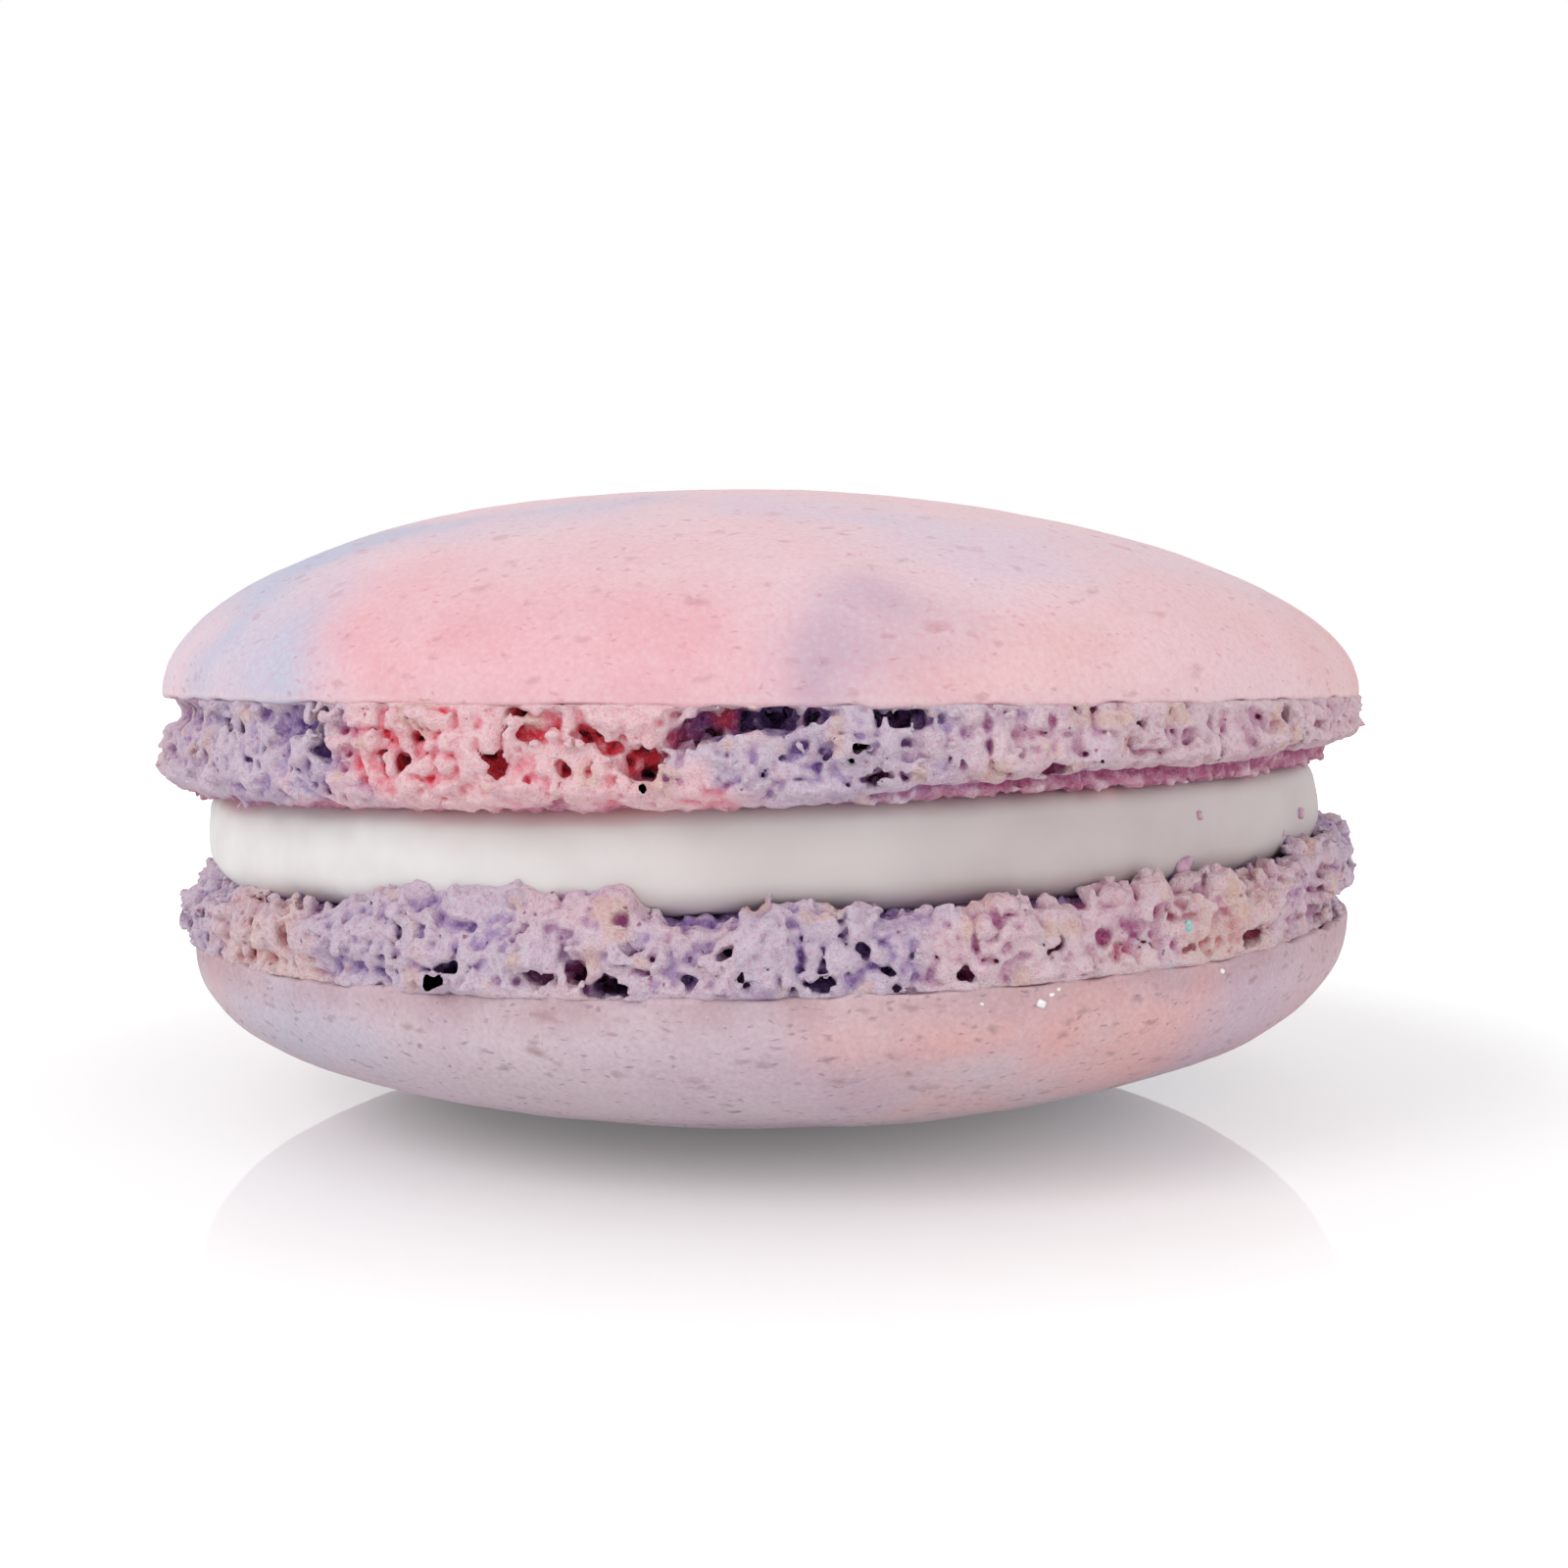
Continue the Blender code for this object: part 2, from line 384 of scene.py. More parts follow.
@dataclass
class Foot:
    """The froth between a shell's skirt and its baked underside.

    side is -1 where the underside is below the skirt, and 1 where it is above. shape lists, round the
    macaron, (azimuth, undercut, belly, edge, disc): how far the foot stands in from the skirt just past the
    lip and at its belly, how far past the underside its edge reaches, and how far in the disc's edge is."""

    name: str
    side: int
    radius: float
    centre_x: float
    skirt_z: float
    skirt_lean: float
    mat_z: float
    shape: list
    seed: int

    def __post_init__(self):
        self.azimuth = np.arange(TURNS) * 360.0 / TURNS
        self.drop = np.arange(DROP_FROM, DROP_TO, STEP)
        self.r = self.radius + np.arange(-RADIUS_IN, RADIUS_OUT, STEP)

    def skirt_at(self, azimuth):
        return self.skirt_z + self.skirt_lean * self.radius * np.sin(np.radians(azimuth))

    def height_at(self, azimuth):
        """The distance from the skirt to the baked underside."""
        mat = self.mat_z + LEAN * self.radius * np.sin(np.radians(azimuth))
        return self.side * (mat - self.skirt_at(azimuth))

    def to_points(self, cells):
        azimuth = cells[:, 0] * 360.0 / TURNS
        drop = DROP_FROM + cells[:, 1] * STEP
        radius = self.r[0] + cells[:, 2] * STEP
        return place(azimuth, radius, self.skirt_at(azimuth) + self.side * drop, self.centre_x)

    def to_cells(self, points):
        azimuth = azimuth_of(points, self.centre_x) % 360.0
        radius = np.hypot(points[:, 0] - self.centre_x, points[:, 1])
        drop = self.side * (points[:, 2] - self.skirt_at(azimuth))
        cells = [azimuth * TURNS / 360.0, (drop - DROP_FROM) / STEP, (radius - self.r[0]) / STEP]
        return np.stack(cells, axis=-1)

    def body(self):
        """The uncut foot, as a field that is positive inside, with its outer radius and its crumble."""
        azimuth = self.azimuth[:, None, None]
        drop = self.drop[None, :, None]
        radius = self.r[None, None, :]
        points = place(azimuth, radius + 0 * drop, self.side * (drop + 0 * radius), 0.0).astype(np.float32)
        undercut, belly, edge, disc_in = (v[:, None, None] for v in around(self.azimuth, self.shape))
        height = self.height_at(azimuth)

        ring = points[:, :1, -1:]
        crest = noises(ring, self.seed, (0.5, 2.4), (0.35, 0.9), (0.15, 0.4))
        edge_drop = height + edge + CREST_WAVE[self.side] * crest

        share = np.clip(drop / edge_drop, 0.0, 1.3)
        inset = belly + undercut * np.exp(-(((drop - 0.75) / 0.55) ** 2)) + 0.45 * smooth(share, 0.75, 1.05)
        tucked = 0.45 * (1 - smooth(drop, -0.02, 0.20))
        outer = self.radius - np.maximum(inset, -0.08 + 0 * inset) - tucked
        swell = noises(points[:, :, -1:], self.seed + 3, (0.55, 3.1), (0.3, 1.5))
        under_lip = smooth(drop, 0.0, 0.5)
        outer = outer + 0.55 * swell * under_lip

        ruffle = smooth_min(outer - radius, edge_drop - drop, 0.45)
        behind_ruffle = radius - (self.radius - 1.15) + 2.5 * np.maximum(height - drop, 0.0)
        ruffle = smooth_min(ruffle, behind_ruffle, 0.2)
        puffs = np.abs(noise_at(points, 1.5, self.seed + 5)) * 2 - 0.55
        crumbs = np.abs(noise_at(points, 0.65, self.seed + 6)) * 2 - 0.55
        grit = noise_at(points, 0.34, self.seed + 7)
        dust = noise_at(points, 0.21, self.seed + 8)
        rough = PUFF_HEIGHT[self.side] * puffs + 0.20 * crumbs + 0.17 * grit + 0.15 * dust
        at_edge = smooth(share, 0.8, 1.0) * (0.75 if self.side < 0 else 0.0)
        ruffle = ruffle + rough * (0.25 + 0.75 * under_lip) * (1 - at_edge)

        disc = smooth_min(self.radius - disc_in - radius, height - drop, 0.15)
        crumble = 0.20 * crumbs + 0.20 * grit + 0.14 * dust
        return np.maximum(ruffle, disc + 0.55 * crumble), outer, crumble

    def carve(self, field, azimuth, drop, depth_in, half_width, half_height, half_depth, ragged):
        """Cuts an ellipsoid out of the field, whose middle is depth_in inside the skirt's radius."""
        arc = np.radians(360.0 / TURNS) * self.radius
        reach = int(CUT_MARGIN * half_width / arc) + 3
        steps = np.arange(-reach, reach + 1)
        turns = (int(round((azimuth % 360.0) * TURNS / 360.0)) + steps) % TURNS
        middle_radius = self.radius - depth_in
        drops = samples_near(drop - DROP_FROM, half_height, len(self.drop))
        radii = samples_near(middle_radius - self.r[0], half_depth, len(self.r))
        if len(drops) == 0 or len(radii) == 0:
            return
        along = (steps * arc)[:, None, None] / half_width
        across = (self.drop[drops] - drop)[None, :, None] / half_height
        inward = (self.r[radii] - middle_radius)[None, None, :] / half_depth
        distance = np.sqrt(along**2 + across**2 + inward**2) - 1.0
        block = np.ix_(turns, drops, radii)
        size = min(half_width, half_height, half_depth)
        cut = distance * size + ragged * self.crumble[block]
        field[block] = np.minimum(field[block], cut)

    def build(self, caves, material, slot):
        """The finished piece, with caves of (azimuth, drop, half width, half height, half depth)."""
        field, outer, self.crumble = self.body()
        self.outer = outer
        for azimuth, drop, half_width, half_height, half_depth in caves:
            self.carve(field, azimuth, drop, CAVE_DEPTH_IN, half_width, half_height, half_depth, CAVE_RAGGED)
        draw = np.random.default_rng(self.seed)
        for count, smallest, largest, deepest in BUBBLES:
            for _ in range(count):
                size = draw.uniform(smallest, largest)
                azimuth = draw.uniform(0, 360)
                height = float(self.height_at(azimuth))
                drop = draw.uniform(0.1, height + 0.2)
                depth_in = draw.uniform(0.2, deepest)
                stretch = draw.uniform(0.75, 1.4)
                half_sizes = (size * stretch, size / stretch, size)
                self.carve(field, azimuth, drop, depth_in, *half_sizes, BUBBLE_RAGGED)
        drop = self.drop[None, :, None]
        radius = self.r[None, None, :]
        field = np.minimum(field, drop - (DROP_FROM + 0.08) + 0 * radius)
        field = np.minimum(field, radius - (self.r[0] + 0.15))
        self.field = field
        self.solid = (field > 0).astype(np.float32)
        points, quads = largest_part(*cell_surface(field))
        placed = self.to_points(points)
        if self.side > 0:
            quads = quads[:, ::-1]
        piece = new_piece(self.name, placed, quads, material)
        thinned(piece, MOST_TRIANGLES)
        return piece

    def on_disc(self, points):
        """1 on the side and underside of the baked disc behind the ruffle, and 0 on the ruffle."""
        azimuth = azimuth_of(points, self.centre_x)
        disc_in = around(azimuth, self.shape)[3]
        radius = np.hypot(points[:, 0] - self.centre_x, points[:, 1])
        drop = self.side * (points[:, 2] - self.skirt_at(azimuth))
        low = smooth(drop - self.height_at(azimuth), -1.1, -0.8)
        return low * (1 - smooth(radius - self.radius + disc_in, 0.0, 0.2))

    def pits(self, piece):
        """How far each point of the piece is down a pit, from 0 on a tip to over 1 deep in a cave."""
        points = points_of(piece)
        cells = self.to_cells(points)
        near = sampled(soften(self.solid, 2), cells) - 0.5
        far = sampled(soften(self.solid, 7), cells) - 0.5
        radius = np.hypot(points[:, 0] - self.centre_x, points[:, 1])
        outer = sampled(np.repeat(self.outer, len(self.r), axis=2).astype(np.float32), cells)
        inward = np.clip((outer - radius) / 1.3, -0.3, 1.2)
        return np.maximum(0.12 + 1.5 * near + 1.0 * far + 0.60 * inward, 0.0)



# ---- crusts

CRUST_TURNS = 576
DOME_RINGS = 120


# The lip's section below the skirt: how far in from the skirt's radius, and how far down.
LIP = [
    (0.00, 0.06),
    (0.02, 0.12),
    (0.06, 0.16),
    (0.12, 0.18),
    (0.30, 0.18),
    (0.42, 0.10),
    (0.50, -0.10),
    (0.60, -0.30),
    (4.00, -0.30),
]

@dataclass
class Crust:
    """The smooth shell of a macaron, from the middle of its dome to its lip and back in under it.

    fullness shapes the dome: the power of its outline, how much higher that is on the left, and its root."""

    name: str
    side: int
    radius: float
    centre_x: float
    skirt_z: float
    skirt_lean: float
    rise: float
    fullness: tuple
    seed: int

    def level(self, radius, azimuth):
        """How high the dome is at a radius, as a share of its rise. It is fuller on the left."""
        power, skew, root = self.fullness
        share = np.clip(radius / self.radius, 0.0, 1.0)
        return np.clip(1.0 - share ** (power - skew * np.sin(np.radians(azimuth))), 0.0, 1.0) ** (1 / root)

    def on_dome(self, azimuth, height):
        """The dome's point at an azimuth and a height over the skirt, whichever way the dome points."""
        power, skew, root = self.fullness
        outline = power - skew * math.sin(math.radians(azimuth))
        radius = self.radius * (1 - min(height / self.rise, 1.0) ** root) ** (1 / outline)
        return place(azimuth, radius, self.skirt_z + self.side * height, self.centre_x)

    def build(self, material, slot):
        azimuth = np.arange(CRUST_TURNS)[None, :] * 360.0 / CRUST_TURNS
        turn = np.linspace(0.006, math.pi / 2, DOME_RINGS)[:, None]
        radius = self.radius * np.sin(turn) + 0 * azimuth
        level = self.level(radius, azimuth)
        rise = self.rise * level
        lip = np.array(LIP)
        lip_radius = self.radius - lip[:, :1] + 0 * azimuth
        uneven = 1 + 0.6 * noise_at(place(azimuth, lip_radius, 0.0, 0.0), 0.9, self.seed + 3)
        lip_rise = -lip[:, 1:] * uneven
        radius = np.concatenate([radius, lip_radius])
        rise = np.concatenate([rise, lip_rise])
        level = np.concatenate([level, 0 * lip_rise])
        lean = self.skirt_lean * radius * np.sin(np.radians(azimuth)) * (1 - level)
        z = self.skirt_z + self.side * rise + lean
        rings = place(azimuth, radius, z, self.centre_x)
        wave = noises(rings, self.seed, (0.10, 6.0), (0.035, 1.7), (0.010, 0.5))
        wave *= smooth(radius, self.radius - 1.4, self.radius - 0.05) * -0.5 + 1
        upward = self.side * 3.0 * np.maximum(rise, 0.0)
        outward = np.stack([rings[..., 0] - self.centre_x, rings[..., 1], upward], axis=-1)
        outward /= np.linalg.norm(outward, axis=-1, keepdims=True)
        rings = rings + outward * (wave * smooth(level, -0.5, 0.1))[..., None]
        rings[..., 2] = np.maximum(rings[..., 2], 0.0)
        if self.side < 0:
            rings = rings[:, ::-1]
        return turned_body(self.name, rings, material)



def clouded(points, base, clouds, seed):
    """Marbling at points: a base colour, and each cloud's colour near the line between its two ends."""
    warp = np.stack([noise_at(points, 3.2, seed + i) for i in range(3)], axis=-1)
    warp = warp + 0.22 * np.stack([noise_at(points, 1.1, seed + 3 + i) for i in range(3)], axis=-1)
    moved = points + 1.3 * warp
    patchy = 0.88 + 0.25 * noise_at(points, 1.8, seed + 6)
    colours = np.tile(srgb(base), (len(points), 1))
    for start, end, reach, strength, code in clouds:
        line = end - start
        along = np.clip(((moved - start) @ line) / max(float(line @ line), 1e-9), 0.0, 1.0)
        distance = np.linalg.norm(moved - start - along[:, None] * line, axis=1)
        share = np.clip(strength * patchy * (1 - smooth(distance, 0.1 * reach, 2.0 * reach)), 0.0, 1.0)
        colours = towards(colours, srgb(code), share)
    return colours


def stray_clouds(crust, count, codes, seed):
    """Seeded clouds over the top and the back of a dome, in turn of their colours."""
    draw = np.random.default_rng(seed)
    clouds = []
    for i in range(count):
        azimuth = draw.uniform(85, 275)
        height = crust.rise * math.sqrt(draw.uniform(0.02, 0.98))
        start = crust.on_dome(azimuth, height)
        end_azimuth = azimuth + draw.uniform(-35, 35)
        end_height = min(crust.rise, max(0.1, height + draw.uniform(-2.5, 2.5)))
        end = crust.on_dome(end_azimuth, end_height)
        clouds.append((start, end, draw.uniform(1.6, 4.2), draw.uniform(0.3, 0.75), codes[i % len(codes)]))
    return clouds


# ---- materials


class Nodes:
    """Builds a material's or a world's nodes. A number, a colour or a node's output can go into a socket."""

    def __init__(self, name, kind="materials"):
        self.owner = getattr(bpy.data, kind).new(name)
        self.owner.use_nodes = True
        self.tree = self.owner.node_tree
        self.shader = self.tree.nodes.get("Principled BSDF")

    def put(self, socket, value):
        if isinstance(value, bpy.types.NodeSocket):
            self.tree.links.new(value, socket)
        else:
            socket.default_value = value

    def add(self, kind, result=0, settings=None, **inputs):
        node = self.tree.nodes.new(kind)
        for name, value in (settings or {}).items():
            setattr(node, name, value)
        for name, value in inputs.items():
            key = int(name[1:]) if name[0] == "i" and name[1:].isdigit() else name
            self.put(node.inputs[key], value)
        return node.outputs[result]

    def math(self, operation, a, b=0.0, clamp=False):
        return self.add("ShaderNodeMath", settings={"operation": operation, "use_clamp": clamp}, i0=a, i1=b)

    def vector(self, operation, **inputs):
        return self.add("ShaderNodeVectorMath", settings={"operation": operation}, **inputs)

    def times(self, a, b):
        return self.math("MULTIPLY", a, b)

    def ranged(self, value, low, high, to_low, to_high):
        """A value's way from low to high, turned into the way from to_low to to_high."""
        limits = {"From Min": low, "From Max": high, "To Min": to_low, "To Max": to_high}
        return self.add("ShaderNodeMapRange", Value=value, **limits)

    def mix(self, share, a, b, blend="MIX"):
        """Some of colour b over colour a. Each is a node's output or six hex digits."""
        node = self.tree.nodes.new("ShaderNodeMix")
        node.data_type = "RGBA"
        node.blend_type = blend
        self.put(node.inputs["Factor"], share)
        for name, colour in (("A", a), ("B", b)):
            self.put(node.inputs[name], (*srgb(colour), 1.0) if isinstance(colour, str) else colour)
        return next(out for out in node.outputs if out.type == "RGBA")

    def place(self):
        return self.add("ShaderNodeTexCoord", result="Object")

    def noise(self, where, scale, detail=2.0, roughness=0.5):
        return self.add("ShaderNodeTexNoise", Vector=where, Scale=scale, Detail=detail, Roughness=roughness)

    def shaken(self, where, scale, reach):
        """A place moved about by noise, by up to about a reach."""
        wobble = self.add("ShaderNodeTexNoise", result="Color", Vector=where, Scale=scale, Detail=1.0)
        centred = self.vector("SUBTRACT", i0=wobble, i1=(0.5, 0.5, 0.5))
        return self.vector("ADD", i0=where, i1=self.vector("SCALE", i0=centred, Scale=2 * reach))

    def flecks(self, where, per_metre, share, smallest, largest, soft):
        """1 in scattered spots and 0 around them, and two random numbers for each spot.

        share of the spots show, and their radii are in parts of the distance between them."""
        node = self.tree.nodes.new("ShaderNodeTexVoronoi")
        self.put(node.inputs["Vector"], where)
        node.inputs["Scale"].default_value = per_metre
        split = self.tree.nodes.new("ShaderNodeSeparateColor")
        self.put(split.inputs[0], node.outputs["Color"])
        present = self.math("LESS_THAN", split.outputs[0], share)
        size = self.ranged(split.outputs[1], 0.0, 1.0, smallest, largest)
        inside = self.math("SUBTRACT", size, node.outputs["Distance"])
        spot = self.math("MULTIPLY", inside, 1.0 / soft, clamp=True)
        return self.times(spot, present), split.outputs[1], split.outputs[2]

    def skin(self, colour, roughness, normal, specular, weight, radius, scale):
        """The finished material: its look, its shine, and how far light spreads under the surface."""
        for name, value in (("Base Color", colour), ("Roughness", roughness), ("Normal", normal)):
            self.put(self.shader.inputs[name], value)
        self.shader.inputs["Specular IOR Level"].default_value = specular
        self.shader.inputs["Subsurface Weight"].default_value = weight
        self.shader.inputs["Subsurface Radius"].default_value = radius
        self.shader.inputs["Subsurface Scale"].default_value = scale
        return self.owner


FLOUR_VEIL = "F6E9EA"
BLOOM = "FBF2F3"
PALE_GRAIN = "FBE8EE"
# Painted shade for the froth's pores and pinholes.
PORE_SHADE = "F6B6CA"
PINHOLE_SHADE = "D484A4"
LIGHT_CREAM = "EFEBE6"
SHADED_CREAM = "D9D0CE"


def crust_material(name, fleck_codes, fleck_share, fleck_strength):
    """A matt baked skin with ground almond in it: soft flecks of three sizes, fine grain and faint pores."""
    n = Nodes(name)
    where = n.place()
    colour = n.add("ShaderNodeVertexColor", settings={"layer_name": "marbling"})
    blotch = n.noise(where, 330.0, 3.0)
    colour = n.mix(n.ranged(blotch, 0.3, 0.7, 0.0, 0.16), colour, FLOUR_VEIL)
    grain = n.noise(where, 5200.0, 3.0, 0.7)
    colour = n.mix(n.ranged(grain, 0.48, 0.70, 0.0, 0.24), colour, fleck_codes[2])
    colour = n.mix(n.ranged(grain, 0.48, 0.30, 0.0, 0.13), colour, BLOOM)
    flat = n.vector("MULTIPLY", i0=where, i1=(1.0, 1.0, 2.0))
    shaken = n.shaken(n.shaken(flat, 1500.0, 0.00035), 5000.0, 0.00012)
    layers = [
        # flecks per metre, share, smallest, largest, soft, strength, the largest one's part of it, 2 colours
        (1150.0, fleck_share, 0.06, 0.42, 0.26, fleck_strength, 0.4, 0, 1),
        (2300.0, fleck_share * 0.9, 0.08, 0.38, 0.20, fleck_strength * 0.7, 1.0, 1, 2),
        (430.0, 0.46, 0.05, 0.26, 0.16, fleck_strength * 0.6, 1.0, 0, 2),
    ]
    spots = []
    for per_metre, share, smallest, largest, soft, strength, part, first, second in layers:
        spot, size, tone = n.flecks(shaken, per_metre, share, smallest, largest, soft)
        seen = n.times(spot, n.ranged(size, 0.0, 1.0, strength, part * strength))
        colour = n.mix(seen, colour, n.mix(tone, fleck_codes[first], fleck_codes[second]))
        spots.append(spot)
    pores = n.noise(where, 3600.0, 2.0)
    bumps = n.math("ADD", n.times(pores, 0.7), n.times(blotch, 0.8))
    bumps = n.math("SUBTRACT", bumps, n.times(spots[0], 0.5))
    normal = n.add("ShaderNodeBump", Strength=0.4, Distance=0.00010, Height=bumps)
    rough = n.ranged(blotch, 0.0, 1.0, 0.55, 0.72)
    return n.skin(colour, rough, normal, 0.28, 0.10, (1.0, 0.45, 0.40), 0.0012)


def froth_material(name):
    """Granular crumb: pale grains, with painted shade in the pores between them and in the pinholes."""
    n = Nodes(name)
    where = n.place()
    colour = n.add("ShaderNodeVertexColor", settings={"layer_name": "crumb"})
    grain = n.noise(where, 5800.0, 3.0, 0.7)
    colour = n.mix(n.ranged(grain, 0.50, 0.72, 0.0, 0.36), colour, PALE_GRAIN)
    # Painted shade: the pores between the grains and the pinholes are darkened.
    colour = n.mix(n.ranged(grain, 0.47, 0.29, 0.0, 0.6), colour, PORE_SHADE, "MULTIPLY")
    pinhole, _, _ = n.flecks(n.shaken(where, 5000.0, 0.00008), 2600.0, 0.30, 0.04, 0.20, 0.08)
    colour = n.mix(n.times(pinhole, 0.8), colour, PINHOLE_SHADE, "MULTIPLY")
    height = n.math("SUBTRACT", grain, n.times(pinhole, 0.5))
    normal = n.add("ShaderNodeBump", Strength=1.0, Distance=0.00022, Height=height)
    rough = n.ranged(grain, 0.0, 1.0, 0.75, 0.95)
    return n.skin(colour, rough, normal, 0.2, 0.12, (1.0, 0.35, 0.35), 0.001)


def cream_material(name):
    """Smooth buttercream, a little lighter and darker in soft drifts."""
    n = Nodes(name)
    where = n.place()
    drift = n.noise(where, 160.0, 3.0)
    cloud = n.noise(where, 700.0, 2.0)
    colour = n.add("ShaderNodeVertexColor", settings={"layer_name": "cream"})
    colour = n.mix(n.ranged(drift, 0.3, 0.7, 0.0, 0.3), colour, LIGHT_CREAM)
    colour = n.mix(n.ranged(cloud, 0.35, 0.7, 0.0, 0.25), colour, SHADED_CREAM)
    normal = n.add("ShaderNodeBump", Strength=0.25, Distance=0.0002, Height=cloud)
    rough = n.ranged(cloud, 0.0, 1.0, 0.42, 0.62)
    return n.skin(colour, rough, normal, 0.4, 0.18, (1.0, 0.8, 0.7), 0.002)


# ---- the upper shell

UPPER_FOOT_SHAPE = [
    # azimuth, undercut, belly, edge, disc
    (-150, 0.45, 0.35, -0.05, 0.9),
    (-90, 0.80, 0.15, -0.05, 0.9),
    (-65, 0.85, 0.10, 0.00, 0.9),
    (-42, 0.30, 0.05, 0.00, 0.8),
    (-25, -0.02, -0.04, 0.00, 0.8),
    (0, 0.00, -0.02, 0.00, 0.8),
    (7, 0.04, 0.02, -0.05, 0.9),
    (12, 0.04, 0.00, -0.42, 1.0),
    (30, 0.00, -0.04, -0.50, 1.1),
    (45, 0.00, -0.04, -0.60, 1.2),
    (60, 0.00, 0.00, -0.70, 1.3),
    (95, 0.00, 0.00, -0.70, 1.3),
    (135, 0.30, 0.30, -0.30, 1.1),
    (180, 0.45, 0.35, -0.10, 0.9),
]

# Caves: azimuth, drop, half width, half height and half depth.
UPPER_CAVES = [
    (-51, 1.35, 0.45, 0.55, 1.3),
    (-47.5, 1.00, 0.30, 0.38, 0.9),
    (-40, 0.80, 1.20, 0.55, 0.7),
    (-36.5, 0.65, 0.36, 0.52, 2.0),
    (-36, 1.55, 0.60, 0.40, 0.7),
    (-28, 1.95, 0.50, 0.30, 0.6),
    (-26, 1.17, 0.30, 0.20, 0.9),
    (-19.8, 1.88, 0.66, 0.50, 0.55),
    (-17, 0.95, 0.70, 0.36, 0.30),
    (-18, 0.42, 0.26, 0.16, 0.6),
    (-14.4, 2.00, 0.24, 0.24, 0.7),
    (-12, 1.10, 0.78, 0.34, 0.60),
    (-10.6, 1.40, 0.40, 0.24, 0.60),
    (-8.0, 1.80, 0.78, 0.50, 0.65),
    (-7.8, 2.15, 0.55, 0.28, 1.8),
    (-5.0, 1.15, 0.60, 0.36, 1.0),
    (-3.6, 0.80, 0.75, 0.50, 1.3),
    (-0.6, 0.60, 0.95, 0.46, 1.8),
    (1.8, 0.52, 0.80, 0.46, 2.2),
    (4.4, 0.50, 0.42, 0.38, 0.8),
    (7.0, 1.63, 0.42, 0.22, 0.6),
    (10.9, 0.60, 0.95, 0.38, 2.3),
    (9.5, 2.25, 0.60, 0.28, 0.8),
    (23, 2.10, 0.60, 0.30, 0.8),
    (30.5, 0.85, 0.28, 0.26, 1.5),
    (48, 0.65, 0.30, 0.35, 0.7),
]

# Which dye the froth took, at azimuths round the macaron. Between two of them, one runs into the other.
UPPER_FROTH_DYES = [
    (-180, "rose"), (-90, "lilac"), (-56, "violet"), (-40, "violet"), (-30, "rose"),
    (-3, "rose"), (5, "violet"), (13, "violet"), (22, "lilac"), (110, "lilac"),
]

# ---- the lower shell

LOWER_FOOT_SHAPE = [
    (-150, 0.20, 0.20, 0.35, 1.35),
    (-85, 0.00, 0.02, 0.20, 1.3),
    (-60, 0.00, 0.00, 0.30, 1.3),
    (-45, 0.00, 0.00, 0.30, 1.3),
    (-28, 0.00, 0.02, 0.60, 1.3),
    (-13, 0.02, 0.02, 0.85, 1.3),
    (-8, 0.00, 0.05, 0.05, 1.45),
    (-2, 0.00, 0.05, -0.20, 1.5),
    (3, 0.00, 0.05, 0.25, 1.4),
    (15, 0.00, 0.02, 0.30, 1.35),
    (35, 0.00, 0.02, 0.15, 1.35),
    (55, 0.15, 0.15, 0.10, 1.3),
    (75, 0.60, 0.35, 0.90, 1.3),
    (110, 0.30, 0.30, 0.60, 1.3),
    (160, 0.20, 0.25, 0.35, 1.35),
]

LOWER_CAVES = [
    (-31.5, 0.75, 0.28, 0.20, 0.8),
    (-25.5, 0.85, 0.55, 0.32, 1.2),
    (-18, 1.05, 0.50, 0.55, 0.55),
    (-15, 0.85, 0.50, 0.42, 0.80),
    (-12.5, 0.45, 0.85, 0.38, 2.2),
    (-6, 0.70, 0.22, 0.20, 0.7),
    (-3, 1.50, 0.28, 0.24, 0.7),
    (-2, 0.95, 0.38, 0.50, 0.5),
    (4, 0.50, 0.44, 0.28, 0.6),
    (9.5, 0.75, 0.26, 0.22, 0.9),
    (15.5, 0.48, 0.42, 0.32, 0.9),
    (22.5, 1.20, 0.60, 0.46, 0.5),
    (44.5, 0.65, 0.75, 0.28, 0.9),
    (50, 1.60, 0.40, 0.36, 0.9),
    (64, 1.00, 1.00, 0.42, 1.3),
]

LOWER_FROTH_DYES = [
    (-180, "lilac"), (-80, "violet"), (-60, "violet"), (-46, "peach"), (-36, "violet"),
    (-24, "violet"), (-13, "lilac"), (-4, "violet"), (6, "violet"), (16, "lilac"),
    (32, "lilac"), (42, "peach"), (52, "lilac"), (70, "violet"), (120, "violet"),
]

# Each dye's colour on the froth's tips and on its body; down its pits, its own unbrowned colour with a
# painted glow of light bleeding through the crumb; and deep in its caves, painted shade.
FROTH_DYE_GLOW_AND_SHADE = {
    "rose": ("FDD2D7", "F99EAC", "F4485A", "7E2030"),
    "peach": ("ECCFCC", "E0AEAA", "D06C6C", "6A2A36"),
    "lilac": ("EACFD8", "D0A0B8", "B4588E", "4A2240"),
    "violet": ("DCCADC", "B298C4", "7E5AA0", "382244"),
}
# The baked discs' colours: partly their own smooth, deeper colour, partly painted shade of their recess
# under the ruffle and the filling.
RASPBERRY_SHADED_DISC = "BE6E90"
PLUM_SHADED_DISC = "8A6AA6"
ALMOND = "E2BEA6"


